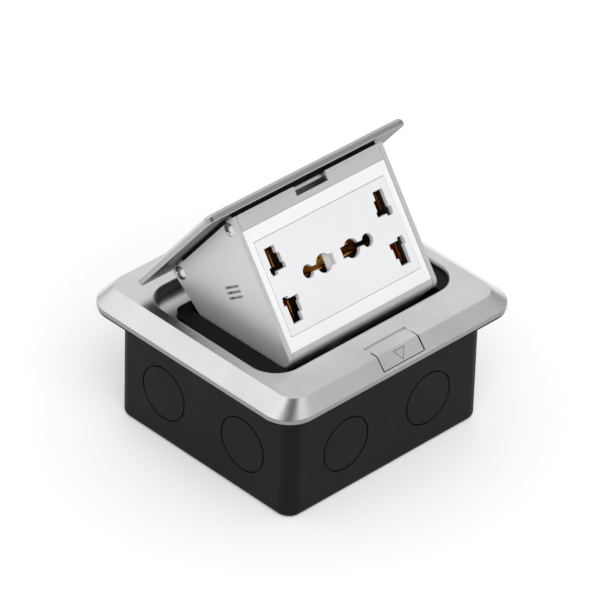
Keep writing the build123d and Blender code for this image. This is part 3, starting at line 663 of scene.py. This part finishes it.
class SOCKETBOX_OT_back_box(PieceOperator, bpy.types.Operator):
    """Coated back box with its foam ring, earth stud and fixing screws."""
    bl_idname = "socket_box.back_box"
    bl_label = "Back Box"

    def execute(self, context):
        plastic = settings("plastic")
        metals = settings("small_metal")
        coating = moulded("box_coating", plastic.box, 0.5, tooth=0.3, height=5e-6, specular=0.12)
        softened("back_box", plastic.box_edge / 3, coating)
        foam_ring(foam())
        finish(["earth_stud"], plated("stud_brass", metals.brass, 0.3))
        finish(["box_screws"], plated("steel_box_screw", metals.steel, 0.32))
        return {"FINISHED"}


class SOCKETBOX_OT_surround(PieceOperator, bpy.types.Operator):
    """Cast metal surround and the screws that hold its tray."""
    bl_idname = "socket_box.surround"
    bl_label = "Surround"

    def execute(self, context):
        cast = settings("cast")
        softened("frame", cast.edge, cast_metal())
        finish(["frame_screws"], plated("steel_frame_screw", settings("small_metal").steel, 0.32))
        return {"FINISHED"}


class SOCKETBOX_OT_latch(PieceOperator, bpy.types.Operator):
    """Sliding latch with its mark, guide strap and detent."""
    bl_idname = "socket_box.latch"
    bl_label = "Latch"

    def execute(self, context):
        cast = settings("cast")
        metals = settings("small_metal")
        cap = softened("latch_button", cast.edge / 2, cast_metal())
        narrowed = 1.0 - cast.latch_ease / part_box("latch_button")[1].x
        cap.data.transform(Matrix.Translation((0.0, cast.latch_ease, 0.0))
                           @ Matrix.Diagonal((narrowed, 1.0, 1.0, 1.0)))
        # Painted shade for the mark's groove.
        groove_shade, _ = principled("mark_line", settings("mark").colour, 0.6)
        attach(triangle_mark(groove_shade), BODY_OF["latch_button"])
        finish(["latch_guide"], plated("steel_strap", metals.steel, 0.36))
        finish(["guide_screws"], plated("steel_guide_screw", metals.steel, 0.3))
        finish(["detent_spring"], plated("detent_steel", metals.spring, 0.3))
        return {"FINISHED"}


class SOCKETBOX_OT_tray(PieceOperator, bpy.types.Operator):
    """Black inner tray and its screw caps."""
    bl_idname = "socket_box.tray"
    bl_label = "Inner Tray"

    def execute(self, context):
        plastic = settings("plastic")
        black = moulded("tray_moulding", plastic.tray, 0.48, specular=0.15)
        softened("inner_tray", plastic.box_edge, black, cut=True)
        softened("screw_caps", plastic.box_edge / 2, black)
        return {"FINISHED"}


class SOCKETBOX_OT_hinge(PieceOperator, bpy.types.Operator):
    """Hinge brackets, pins, rivets and springs."""
    bl_idname = "socket_box.hinge"
    bl_label = "Hinge"

    def execute(self, context):
        metals = settings("small_metal")
        finish(["hinge_bracket_left", "hinge_bracket_right"], plated("bracket_steel", metals.steel, 0.38))
        finish(["hinge_pins", "hinge_rivets"], plated("pin_steel", metals.steel, 0.25))
        finish(["hinge_springs"], plated("spring_steel", metals.spring, 0.3))
        return {"FINISHED"}


class SOCKETBOX_OT_riser(PieceOperator, bpy.types.Operator):
    """Side plates, strips and side screws of the riser."""
    bl_idname = "socket_box.riser"
    bl_label = "Riser"

    def execute(self, context):
        sheet = settings("sheet")
        satin = satin_side()
        for side in ("left", "right"):
            softened(f"side_plate_{side}", sheet.edge, satin)
        strip = brushed_metal("brushed_strip", sheet.strip_colour, sheet.strip_roughness, depth=0.02,
                              metallic=1.0 - sheet.film)
        # Painted shade, reaching three times as far, in the strips' joints and the strike slot.
        paint_crevice_shade(strip, sheet.crevice * 3)
        for node in ("top_bracket", "bottom_bracket"):
            softened(node, sheet.edge, strip)
        nickel = plated("nickel_screw", settings("small_metal").screw, 0.2, height=2e-7, change=0.02)
        # Painted shade in the screws' cross recesses.
        paint_crevice_shade(nickel, sheet.crevice)
        finish(["side_screws"], nickel)
        liner = moulded("vent_liner", settings("plastic").case, 0.5)
        for side in (-1, 1):
            vent_liner(side, liner)
        return {"FINISHED"}


class SOCKETBOX_OT_lid(PieceOperator, bpy.types.Operator):
    """Brushed lid and the pad under it."""
    bl_idname = "socket_box.lid"
    bl_label = "Lid"

    def execute(self, context):
        sheet = settings("sheet")
        trim_lid(softened("lid", sheet.edge, lid_metal()))
        finish(["lid_pad"], moulded("pad_black", settings("plastic").tray, 0.6, specular=0.2))
        return {"FINISHED"}


class SOCKETBOX_OT_sockets(PieceOperator, bpy.types.Operator):
    """White plates, shutter, contacts, case and terminals."""
    bl_idname = "socket_box.sockets"
    bl_label = "Sockets"

    def execute(self, context):
        plastic = settings("plastic")
        metals = settings("small_metal")
        softened("face_plate", plastic.white_edge, moulded("white_plate", plastic.white, 0.32), cut=True)
        softened("socket_panel", plastic.white_edge / 2, moulded("cool_white", plastic.panel, 0.36))
        softened("socket_case", plastic.white_edge, case_plastic())
        legs = moulded("leg_moulding", plastic.case, 0.45)
        softened("case_legs", plastic.white_edge, legs)
        softened("terminal_block", plastic.white_edge, legs)
        blade = softened("shutter", plastic.white_edge, moulded("grey_shutter", plastic.shutter, 0.45))
        cut_back(blade, plastic.shutter_start)
        brass = plated("contact_brass", metals.brass, 0.28)
        for node in ("live_contacts", "neutral_contacts", "earth_contacts", "terminal_screws"):
            softened(node, plastic.white_edge / 3, brass)
        return {"FINISHED"}


class SOCKETBOX_OT_stage(PieceOperator, bpy.types.Operator):
    """Camera, pale floor, world and a soft key lamp."""
    bl_idname = "socket_box.stage"
    bl_label = "Stage"

    def execute(self, context):
        add_camera()
        add_floor()
        add_world()
        add_key_lamp()
        context.scene.view_settings.view_transform = "Standard"
        return {"FINISHED"}


# Stage
def add_camera():
    """The photograph's view, with the picture's right and up turned by the roll."""
    stage = settings("stage")
    level, steep = math.cos(stage.elevation), math.sin(stage.elevation)
    forward = Vector((level * math.sin(stage.azimuth), level * math.cos(stage.azimuth), -steep))
    right = Vector((math.cos(stage.azimuth), -math.sin(stage.azimuth), 0.0))
    up = right.cross(forward)
    turned_right = math.cos(stage.roll) * right + math.sin(stage.roll) * up
    turned_up = math.cos(stage.roll) * up - math.sin(stage.roll) * right
    camera = bpy.data.objects.new("camera", bpy.data.cameras.new("camera"))
    camera.data.lens = stage.lens
    camera.data.sensor_width = 36.0
    camera.data.clip_end = 20.0
    turn = Matrix((turned_right, turned_up, -forward)).transposed().to_4x4()
    camera.matrix_world = Matrix.Translation(Vector(stage.target) - forward * stage.distance) @ turn
    bpy.context.scene.collection.objects.link(camera)
    bpy.context.scene.camera = camera


def add_floor():
    """A wide pale floor that also keeps the object's shadow."""
    stage = settings("stage")
    half = stage.floor_size / 2
    mesh = bpy.data.meshes.new("floor")
    corners = [(-half, -half, 0), (half, -half, 0), (half, half, 0), (-half, half, 0)]
    mesh.from_pydata(corners, [], [(0, 1, 2, 3)])
    floor = bpy.data.objects.new("floor", mesh)
    bpy.context.scene.collection.objects.link(floor)
    material, shader = principled("floor", stage.floor_colour, 0.9, Specular_IOR_Level=0.0)
    tree = material.node_tree
    shader.inputs["Emission Color"].default_value = (1.0, 1.0, 1.0, 1.0)
    glow = math_node(tree, "MULTIPLY", seen_rays(tree), stage.floor_glow)
    tree.links.new(glow, shader.inputs["Emission Strength"])
    mesh.materials.append(material)


def seen_rays(tree):
    """1 on rays from the camera, off a glossy surface or through glass, else 0."""
    path = tree.nodes.new("ShaderNodeLightPath")
    mirrored = math_node(tree, "MAXIMUM", path.outputs["Is Glossy Ray"], path.outputs["Is Transmission Ray"])
    return math_node(tree, "MAXIMUM", path.outputs["Is Camera Ray"], mirrored)


def studio_gradient(tree):
    """The studio's soft boxes by direction: light at the back left, greyer at the front right, dimmer
    along the horizon, with a dark gap between two boxes above the near corner."""
    direction = tree.nodes.new("ShaderNodeTexCoord").outputs["Generated"]
    sweep = ranged(tree, along(tree, direction, (-0.55, 0.60, 0.45)), -0.7, 1.0, 0.48, 0.98)
    aside = math_node(tree, "ABSOLUTE", along(tree, direction, (0.707, -0.707, 0.0)))
    behind = ranged(tree, along(tree, direction, (0.707, 0.707, 0.0)), -0.30, -0.12)
    front = ranged(tree, aside, 0.24, 0.36, 0.03, 1.35)
    gap = math_node(tree, "MULTIPLY_ADD", front, math_node(tree, "SUBTRACT", 1.0, behind), behind)
    horizon = ranged(tree, along(tree, direction, (0.0, 0.0, 1.0)), 0.08, 0.35, 0.4, 1.0)
    return math_node(tree, "MULTIPLY", math_node(tree, "MULTIPLY", sweep, gap), horizon)


def add_world():
    """White to the camera, the soft boxes to glossy rays and an even light to the rest."""
    stage = settings("stage")
    world = bpy.data.worlds.new("studio")
    world.use_nodes = True
    bpy.context.scene.world = world
    tree = world.node_tree
    background = tree.nodes["Background"]
    path = tree.nodes.new("ShaderNodeLightPath")
    glossy = tree.nodes.new("ShaderNodeMix")
    glossy.inputs["A"].default_value = stage.sky
    tree.links.new(path.outputs["Is Glossy Ray"], glossy.inputs["Factor"])
    tree.links.new(studio_gradient(tree), glossy.inputs["B"])
    camera = tree.nodes.new("ShaderNodeMix")
    camera.inputs["B"].default_value = 1.0
    tree.links.new(path.outputs["Is Camera Ray"], camera.inputs["Factor"])
    tree.links.new(glossy.outputs["Result"], camera.inputs["A"])
    background.inputs["Color"].default_value = (1.0, 1.0, 1.0, 1.0)
    tree.links.new(camera.outputs["Result"], background.inputs["Strength"])


def add_key_lamp():
    """A broad lamp up on the left, in front of the sockets."""
    stage = settings("stage")
    lamp = bpy.data.objects.new("key_lamp", bpy.data.lights.new("key_lamp", "SUN"))
    lamp.data.energy = stage.key
    lamp.data.angle = stage.key_spread
    lamp.rotation_euler = Vector(stage.key_from).to_track_quat("Z", "Y").to_euler()
    lamp.visible_glossy = False
    bpy.context.scene.collection.objects.link(lamp)


class SOCKETBOX_PT_panel(bpy.types.Panel):
    """Lists the pieces in the order in which they are made."""
    bl_idname = "SOCKETBOX_PT_panel"
    bl_label = "Desk Socket Box"
    bl_space_type = "VIEW_3D"
    bl_region_type = "UI"
    bl_category = "Socket Box"

    def draw(self, context):
        for operator in OPERATORS:
            self.layout.operator(operator.bl_idname)


GROUPS = {"cast": CastSettings, "sheet": SheetSettings, "plastic": PlasticSettings,
          "small_metal": SmallMetalSettings, "mark": MarkSettings, "stage": StageSettings}
OPERATORS = (SOCKETBOX_OT_stage, SOCKETBOX_OT_back_box, SOCKETBOX_OT_surround, SOCKETBOX_OT_latch,
             SOCKETBOX_OT_tray, SOCKETBOX_OT_hinge, SOCKETBOX_OT_riser, SOCKETBOX_OT_lid,
             SOCKETBOX_OT_sockets)
CLASSES = tuple(GROUPS.values()) + OPERATORS + (SOCKETBOX_PT_panel,)


def register():
    for cls in CLASSES:
        bpy.utils.register_class(cls)
    for name, cls in GROUPS.items():
        setattr(bpy.types.Scene, f"socket_box_{name}", PointerProperty(type=cls))


def unregister():
    for name in GROUPS:
        delattr(bpy.types.Scene, f"socket_box_{name}")
    for cls in reversed(CLASSES):
        bpy.utils.unregister_class(cls)


def main():
    """Makes the whole scene."""
    register()
    for operator in OPERATORS:
        family, name = operator.bl_idname.split(".")
        getattr(getattr(bpy.ops, family), name)()
    bpy.context.view_layer.update()


if __name__ == "__main__":
    main()
